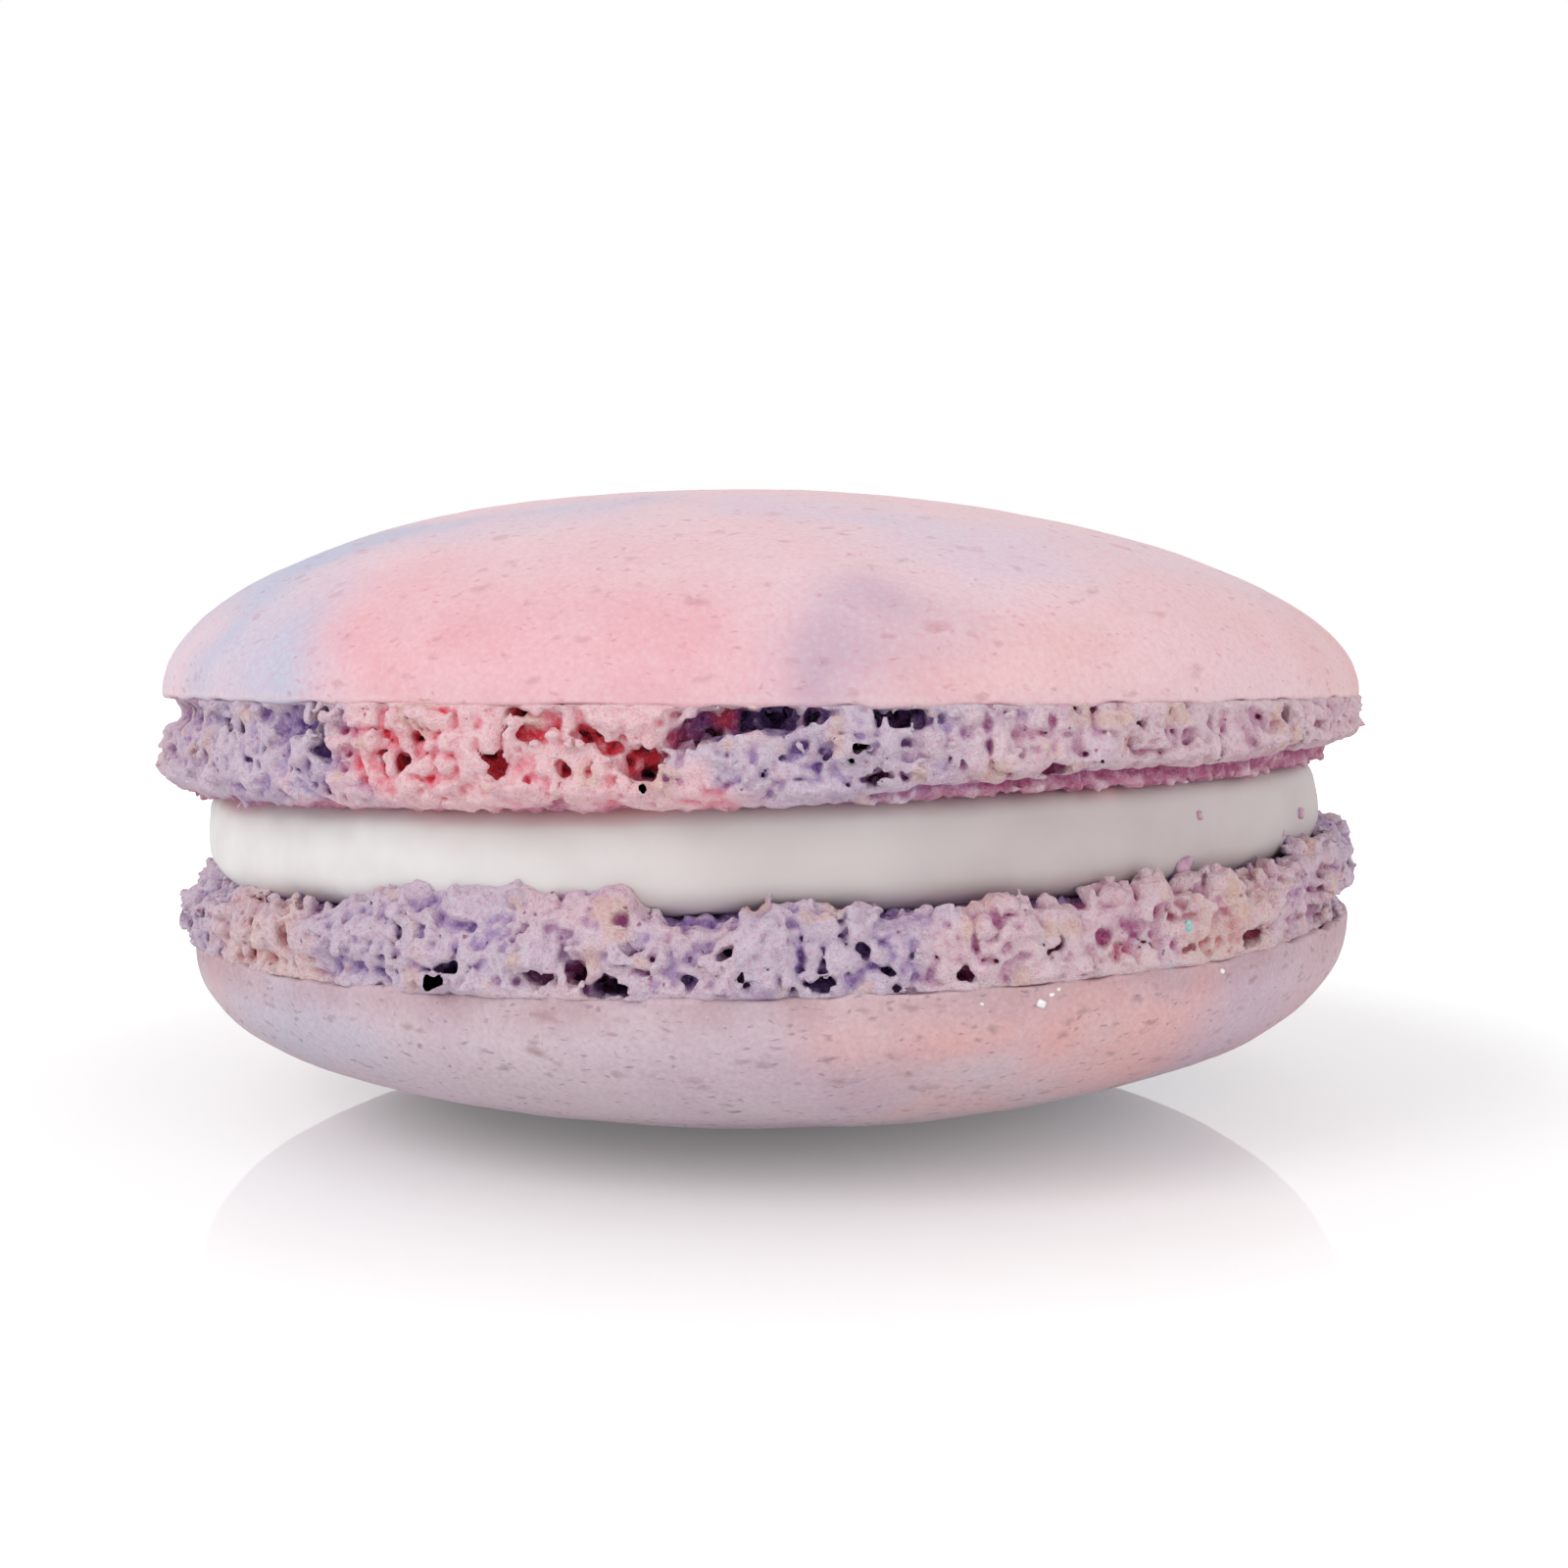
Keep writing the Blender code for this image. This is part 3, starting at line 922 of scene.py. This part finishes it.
def crumb_colours(foot, piece, dyes, shaded_disc_code, seed):
    """Froth is pale on its tips and coloured in its hollows; down its pits a painted glow lies over its own
    unbrowned colour, and its caves are painted dark as shade.
    """
    points = points_of(piece)
    azimuth = azimuth_of(points, foot.centre_x)
    azimuth = azimuth + noises(points, seed, (9.0, 2.0), (5.0, 0.8))
    pit = foot.pits(piece) + noises(points, seed + 2, (0.10, 0.45), (0.20, 1.4))
    tip, body, glow, deep = (
        colour_around(azimuth, [(at, FROTH_DYE_GLOW_AND_SHADE[dye][depth]) for at, dye in dyes]) for depth in range(4)
    )
    colours = towards(tip, body, smooth(pit, 0.02, 0.44))
    # Painted glow down the pits, over the crumb's unbrowned colour, and painted shade deep in the caves.
    colours = towards(colours, glow, smooth(pit, 0.44, 0.78))
    colours = towards(colours, deep, smooth(pit, 1.05, 1.45))
    almond = smooth(noise_at(points, 0.8, seed + 4), 0.48, 0.66) * (1 - smooth(pit, 0.3, 0.6))
    colours = towards(colours, srgb(ALMOND), 0.45 * almond)
    # The disc behind the ruffle takes its colour, partly painted shade of its recess.
    streaks = 0.75 + 0.25 * noise_at(points, 0.5, seed + 5)
    return towards(colours, srgb(shaded_disc_code), streaks * foot.on_disc(points))


pink_crust = crust_material("pink_crust", ("AC666A", "B47E88", "DC8C98"), 0.64, 0.60)
lilac_crust = crust_material("lilac_crust", ("8E6A54", "7A6C84", "A88494"), 0.78, 0.80)
pink_froth = froth_material("pink_froth")
lilac_froth = froth_material("lilac_froth")

UPPER_RISE = upper_shell_top - UPPER_SKIRT_Z
LOWER_RISE = LOWER_SKIRT_Z + FLAT_SPOT_DEPTH
UPPER_FULLNESS = (2.05, 0.20, 1.9)
LOWER_FULLNESS = (2.10, 0.15, 2.3)
UPPER_SKIRT = (UPPER_RADIUS, UPPER_X, UPPER_SKIRT_Z, 0.0)
LOWER_SKIRT = (LOWER_RADIUS, LOWER_X, LOWER_SKIRT_Z, LOWER_SKIRT_LEAN)
upper_crust = Crust("upper_crust", 1, *UPPER_SKIRT, UPPER_RISE, UPPER_FULLNESS, 11)
lower_crust = Crust("lower_crust", -1, *LOWER_SKIRT, LOWER_RISE, LOWER_FULLNESS, 17)

CLOUD_COLOURS = {"rose": "E79DA7", "peach": "E9ADA8", "blue": "B9C1DA", "mauve": "C3A7BC", "pale": "DCCCDC"}
PINK_CRUST = "ECCBD3"
LILAC_CRUST = "D3C0CA"
UPPER_CLOUDS = [
    # start and end, each an azimuth and a height, then reach, strength and colour
    ((-30, 1.6), (-8, 1.0), 3.6, 0.70, "rose"),
    ((14, 0.7), (72, 0.8), 2.2, 0.55, "peach"),
    ((-10, 4.6), (40, 3.4), 2.4, 0.15, "rose"),
    ((22, 5.5), (60, 3.5), 2.2, 0.30, "pale"),
    ((-70, 2.5), (-58, 4.8), 2.4, 0.70, "blue"),
    ((-56, 4.9), (-28, 6.3), 2.4, 0.65, "blue"),
    ((-56, 3.8), (-45, 0.2), 2.7, 0.90, "blue"),
    ((3, 6.4), (24, 4.8), 2.2, 0.80, "pale"),
    ((12, 2.6), (6, 0.1), 2.0, 0.90, "mauve"),
    ((-80, 0.6), (-66, 0.6), 1.6, 0.50, "pale"),
]
LOWER_CLOUDS = [
    ((4, 0.9), (17, 0.6), 1.5, 0.70, "peach"),
    ((26, 2.0), (36, 2.6), 1.9, 0.75, "peach"),
    ((12, 4.0), (20, 4.4), 1.4, 0.50, "peach"),
    ((32, 0.5), (38, 0.6), 1.1, 0.70, "peach"),
    ((-62, 0.4), (-50, 0.5), 1.0, 0.35, "peach"),
    ((-4, 2.6), (6, 2.4), 1.6, 0.35, "mauve"),
    ((42, 2.4), (66, 1.2), 2.2, 0.60, "mauve"),
    ((-50, 1.2), (-38, 2.0), 2.2, 0.50, "blue"),
]


# The line round a crust's lip: pale under the upper dome, and on the lower one a rosy brown band of painted
# shade where the rim faces up into the light.
LIP_LINE = {1: "F0D4D4", -1: "A87078"}
LIP_LINE_REACH = {1: 0.20, -1: 1.40}
LIP_LINE_SHARE = {1: 0.25, -1: 0.50}


def build_crust(crust, material, slot, base, clouds, stray_colours):
    """A crust with its marbling. Where its lip is, a line of another tone runs round it."""
    piece = crust.build(material, slot)
    listed = [
        (crust.on_dome(*start), crust.on_dome(*end), reach, strength, CLOUD_COLOURS[colour])
        for start, end, reach, strength, colour in clouds
    ]
    listed += stray_clouds(crust, 16, [CLOUD_COLOURS[colour] for colour in stray_colours], crust.seed)
    points = points_of(piece)
    colours = clouded(points, base, listed, crust.seed + 20)
    lean = crust.skirt_lean * crust.radius * np.sin(np.radians(azimuth_of(points, crust.centre_x)))
    above = crust.side * (points[:, 2] - crust.skirt_z - lean)
    broken = 0.75 + 0.35 * noise_at(points, 1.3, crust.seed + 30)
    # On the lower crust this line is painted shade over the rim that faces up into the light.
    near_lip = 1 - smooth(np.abs(above), 0.02, LIP_LINE_REACH[crust.side])
    line = near_lip * broken * LIP_LINE_SHARE[crust.side]
    paint(piece, "marbling", towards(colours, srgb(LIP_LINE[crust.side]), line))
    return piece



upper_crust_piece = build_crust(
    upper_crust, pink_crust, "pink_shell", PINK_CRUST, UPPER_CLOUDS, ("blue", "rose", "pale")
)
lower_crust_piece = build_crust(
    lower_crust, lilac_crust, "lilac_shell", LILAC_CRUST, LOWER_CLOUDS, ("peach", "blue", "mauve")
)
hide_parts("upper_shell")
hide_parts("lower_shell")

upper_foot = Foot("upper_foot", -1, *UPPER_SKIRT, UPPER_MAT_Z, UPPER_FOOT_SHAPE, 40)
lower_foot = Foot("lower_foot", 1, *LOWER_SKIRT, LOWER_MAT_Z, LOWER_FOOT_SHAPE, 60)
upper_foot_piece = upper_foot.build(UPPER_CAVES, pink_froth, "pink_shell")
upper_crumb = crumb_colours(upper_foot, upper_foot_piece, UPPER_FROTH_DYES, RASPBERRY_SHADED_DISC, 80)
paint(upper_foot_piece, "crumb", upper_crumb)
lower_foot_piece = lower_foot.build(LOWER_CAVES, lilac_froth, "lilac_shell")
lower_crumb = crumb_colours(lower_foot, lower_foot_piece, LOWER_FROTH_DYES, PLUM_SHADED_DISC, 90)
paint(lower_foot_piece, "crumb", lower_crumb)


# ---- the filling


CREAM = "EDECEA"
# Darker and pinker towards the right: partly a stain of the shells' colour, partly painted shade and painted
# pink bounce light from the foot.
STAIN_AND_SHADE_CREAM = "C6BABA"
# Painted reflection: pink light thrown onto the top of the cream by the upper foot.
PINK_BOUNCE_TINT = "E8B4AE"


def build_filling():
    """Buttercream pressed between the shells: a rounded edge below, and a side that sags unevenly."""
    turns = 480
    azimuth = np.arange(turns)[None, :] * 360.0 / turns
    section = [(0.2, 0.0), (15.0, 0.0), (18.0, 0.0)]
    for step in range(13):
        turn = math.radians(90) * step / 12
        section.append((FILLING_RADIUS - 1.5 + 1.5 * math.sin(turn), 0.36 * (1 - math.cos(turn))))
    section += [(FILLING_RADIUS + 0.03, 0.46), (FILLING_RADIUS + 0.03, 0.56), (FILLING_RADIUS, 0.66)]
    for step in range(9):
        turn = math.radians(90) * step / 8
        section.append((FILLING_RADIUS - 0.9 * (1 - math.cos(turn)) - 0.03, 0.74 + 0.26 * math.sin(turn)))
    section += [(18.0, 1.0), (15.0, 1.0), (0.2, 1.0)]
    section = np.array(section)
    radius = section[:, :1] + 0 * azimuth
    share = section[:, 1:] + 0 * azimuth
    turn = np.radians(azimuth)
    thickness = UPPER_MAT_Z - LOWER_MAT_Z
    ring = place(azimuth, radius, share * thickness, 0.0)
    edge = smooth(radius, 17.0, 21.0)
    swell = noises(ring, 5, (0.18, 5.0), (0.07, 1.8))
    radius = radius + swell * edge
    sag = 0.12 * noise_at(ring * [1, 1, 0], 4.0, 7) * edge * (1 - share)
    z = LOWER_MAT_Z - 0.03 + (thickness + 0.06) * share + sag + LEAN * radius * np.sin(turn)
    rings = place(azimuth, radius, z, FILLING_X)[::-1]
    piece = turned_body("buttercream", rings, cream_material("buttercream"))
    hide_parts("filling")
    points = points_of(piece)
    # Towards the right the cream takes painted shade and pink bounce light, with some stain from the shells.
    stain_and_shade = smooth(points[:, 0] + 2.5 * noise_at(points, 3.0, 8), -14.0, 10.0)
    colours = towards(srgb(CREAM), srgb(STAIN_AND_SHADE_CREAM), stain_and_shade)
    level = (points[:, 2] - LOWER_MAT_Z - LEAN * points[:, 0]) / thickness
    # Painted pink reflected light from the upper foot, near the top of the cream.
    bounce_tint = 0.7 * smooth(level, 0.70, 1.0) * smooth(noises(points, 9, (1.0, 5.0), (0.2, 1.5)), 0.0, 0.4)
    paint(piece, "cream", towards(colours, srgb(PINK_BOUNCE_TINT), bounce_tint))
    return piece


cream_piece = build_filling()

# ---- small things


def touched(pieces, azimuth, z):
    """Where a level line towards the middle first meets a piece, and the surface's direction there."""
    turn = math.radians(azimuth)
    outward = Vector((math.sin(turn), -math.cos(turn), 0.0))
    start = outward * 40.0 * MM + Vector((0.0, 0.0, z * MM))
    casts = [piece.ray_cast(start, -outward) for piece in pieces]
    _, at, normal, _ = min((cast for cast in casts if cast[0]), key=lambda cast: (cast[1] - start).length)
    return np.array(at) / MM, np.array(normal)


def ball(steps=2):
    """Points and triangles of a round body of radius 1."""
    made = bmesh.new()
    bmesh.ops.create_icosphere(made, subdivisions=steps, radius=1.0)
    points = np.array([v.co for v in made.verts])
    faces = np.array([[v.index for v in f.verts] for f in made.faces])
    made.free()
    return points, faces


def scatter(name, spots, sizes, shape, material, seed):
    """One piece of many small bodies. A body's shape is made from a unit ball and a number of its own."""
    unit, faces = ball()
    all_points, all_faces = [], []
    draw = np.random.default_rng(seed)
    for (at, normal), size in zip(spots, sizes):
        points = shape(unit, draw) * size
        up = normal / np.linalg.norm(normal)
        side = np.cross(up, [0.31, 0.52, 0.80])
        side /= np.linalg.norm(side)
        turn = draw.uniform(0, 2 * math.pi)
        first = math.cos(turn) * side + math.sin(turn) * np.cross(up, side)
        second = np.cross(up, first)
        placed = at + points[:, :1] * first + points[:, 1:2] * second + points[:, 2:] * up
        all_faces.append(faces + unit.shape[0] * len(all_points))
        all_points.append(placed)
    return new_piece(name, np.concatenate(all_points), np.concatenate(all_faces), material)


def flake_shape(unit, draw):
    """A thin, slightly bent plate with an angular outline."""
    sides = draw.integers(5, 7)
    angle = np.arctan2(unit[:, 1], unit[:, 0])
    sector = 2 * math.pi / sides
    corner = np.cos(sector / 2) / np.cos((angle % sector) - sector / 2)
    flat = unit * [1.0, draw.uniform(0.65, 0.95), 0.10]
    flat[:, :2] *= corner[:, None]
    flat[:, 2] += 0.18 * flat[:, 0] ** 2 + 0.10
    return flat


def grain_shape(unit, draw):
    """A small sugar crystal: a ball squared off into a block."""
    power = np.abs(unit) ** 0.45 * np.sign(unit)
    return power * [1.0, draw.uniform(0.6, 0.9), draw.uniform(0.5, 0.8)] * 0.8


def crumb_shape(unit, draw):
    """A ragged bit of baked froth."""
    shift = draw.uniform(0, 50, 3)
    rough = 1 + 0.55 * noise_at(unit * 1.5 + shift, 1.0, 31) + 0.25 * noise_at(unit * 4 + shift, 1.0, 32)
    return unit * rough[:, None] * [1.0, draw.uniform(0.6, 0.9), 0.6]


def plain_bits(name, code, roughness, second_code):
    """A plain material whose colour drifts between two."""
    n = Nodes(name)
    tone = n.noise(n.place(), 2600.0, 2.0)
    share = n.ranged(tone, 0.35, 0.65, 0.0, 1.0)
    n.put(n.shader.inputs["Base Color"], n.mix(share, code, second_code))
    n.shader.inputs["Roughness"].default_value = roughness
    return n.owner


draw = np.random.default_rng(2)
BEHIND = (95, 265)


def strewn(name, pieces, placed, placed_sizes, more, azimuths, heights, sizes, shape, material, seed):
    """Small bodies on pieces: some at placed azimuths and heights, and more of them at drawn ones."""
    spots = [touched(pieces, *at) for at in placed]
    spots += [touched(pieces, draw.uniform(*azimuths), draw.uniform(*heights)) for _ in range(more)]
    all_sizes = placed_sizes + list(draw.uniform(*sizes, more))
    scatter(name, spots, all_sizes, shape, material, seed)


lower_pieces = [lower_crust_piece, lower_foot_piece]
bpy.context.view_layer.update()

turquoise = plain_bits("turquoise_glitter", "6FD3D2", 0.25, "A8E8E2")
flakes = ((36.5, 8.65), (28.5, 8.1), (34.5, 7.45))
strewn(
    "turquoise_flakes", lower_pieces, flakes, [0.24, 0.17, 0.19],
    6, BEHIND, (7.4, 8.8), (0.12, 0.24), flake_shape, turquoise, 3,
)

sugar = plain_bits("sugar", "F6F3F4", 0.3, "FFFFFF")
grains = ((22.5, 6.6), (23.4, 6.85), (24.0, 7.0), (41.0, 7.0), (17.5, 6.7))
strewn(
    "sugar_grains", lower_pieces, grains, [0.17, 0.10, 0.08, 0.12, 0.07],
    16, (90, 270), (6.2, 7.4), (0.06, 0.14), grain_shape, sugar, 4,
)

crumb_bits = plain_bits("baked_bits", "D7B4C6", 0.8, "BE8FAE")
crumbs = ((41.5, 11.9), (63.0, 11.5), (40.0, 10.25), (58.0, 10.9))
strewn(
    "loose_crumbs", [cream_piece], crumbs, [0.16, 0.24, 0.42, 0.14],
    14, BEHIND, (9.8, 12.2), (0.10, 0.32), crumb_shape, crumb_bits, 5,
)

# ---- floor, light and camera


# Metres from the floor's middle to its sides, and the world's light where the camera doesn't see it.
FLOOR_REACH = 3.0
WORLD_LIGHT = 0.62


def build_floor():
    """A white surface with a reflection of the macaron that fades with the distance from it."""
    n = Nodes("white_surface")
    path = n.add("ShaderNodeLightPath", result="Is Camera Ray")
    n.shader.inputs["Base Color"].default_value = (0.92, 0.92, 0.92, 1.0)
    n.shader.inputs["Roughness"].default_value = 0.9
    n.shader.inputs["Specular IOR Level"].default_value = 0.0
    n.shader.inputs["Emission Color"].default_value = (1.0, 1.0, 1.0, 1.0)
    away = n.add("ShaderNodeVectorMath", settings={"operation": "LENGTH"}, result="Value", i0=n.place())
    lift = n.ranged(away, 0.030, 0.085, 0.30, 1.0)
    n.put(n.shader.inputs["Emission Strength"], n.times(path, lift))
    mirror = n.tree.nodes.new("ShaderNodeBsdfGlossy")
    mirror.inputs["Roughness"].default_value = 0.03
    fade = n.ranged(away, 0.006, 0.034, 0.60, 0.0)
    mixed = n.tree.nodes.new("ShaderNodeMixShader")
    n.put(mixed.inputs[0], n.times(fade, path))
    n.tree.links.new(n.shader.outputs[0], mixed.inputs[1])
    n.tree.links.new(mirror.outputs[0], mixed.inputs[2])
    n.tree.links.new(mixed.outputs[0], n.tree.nodes["Material Output"].inputs["Surface"])
    mesh = bpy.data.meshes.new("floor")
    corners = [(x * FLOOR_REACH, y * FLOOR_REACH, 0) for x, y in ((-1, -1), (1, -1), (1, 1), (-1, 1))]
    mesh.from_pydata(corners, [], [(0, 1, 2, 3)])
    mesh.materials.append(n.owner)
    stand("floor", mesh)


def build_world():
    """White where the camera, gloss or glass sees it, and a plain level of light elsewhere."""
    n = Nodes("studio", "worlds")
    bpy.context.scene.world = n.owner
    seen = n.add("ShaderNodeLightPath", result="Is Camera Ray")
    for ray in ("Is Glossy Ray", "Is Transmission Ray"):
        seen = n.math("MAXIMUM", seen, n.add("ShaderNodeLightPath", result=ray))
    background = n.tree.nodes["Background"]
    background.inputs["Color"].default_value = (1.0, 1.0, 1.0, 1.0)
    n.put(background.inputs["Strength"], n.ranged(seen, 0.0, 1.0, WORLD_LIGHT, 1.0))


def lamp(name, place_mm, target_mm, size_mm, watts):
    """A round white lamp that faces a target."""
    data = bpy.data.lights.new(name, "AREA")
    data.shape = "DISK"
    data.size = size_mm * MM
    data.energy = watts
    data.color = (1.0, 1.0, 1.0)
    made = stand(name, data)
    made.location = Vector(place_mm) * MM
    direction = (Vector(target_mm) - Vector(place_mm)).normalized()
    made.rotation_euler = direction.to_track_quat("-Z", "Y").to_euler()


build_floor()
build_world()
lamp("key", (-240, -200, 220), (0, 0, 12), 220, 0.47)
lamp("fill", (230, -260, 120), (0, 0, 12), 260, 0.26)

CAMERA_PLACE = (0.87, -80.0, 17.0)
CAMERA_PITCH = 3.66
CAMERA_LENS = 45.7
camera_data = bpy.data.cameras.new("camera")
camera_data.lens = CAMERA_LENS
camera_data.sensor_width = 36.0
camera_data.clip_start = 0.005
camera = stand("camera", camera_data)
camera.location = Vector(CAMERA_PLACE) * MM
camera.rotation_euler = (math.radians(90 - CAMERA_PITCH), 0.0, 0.0)
bpy.context.scene.camera = camera
bpy.context.scene.view_settings.view_transform = "Standard"
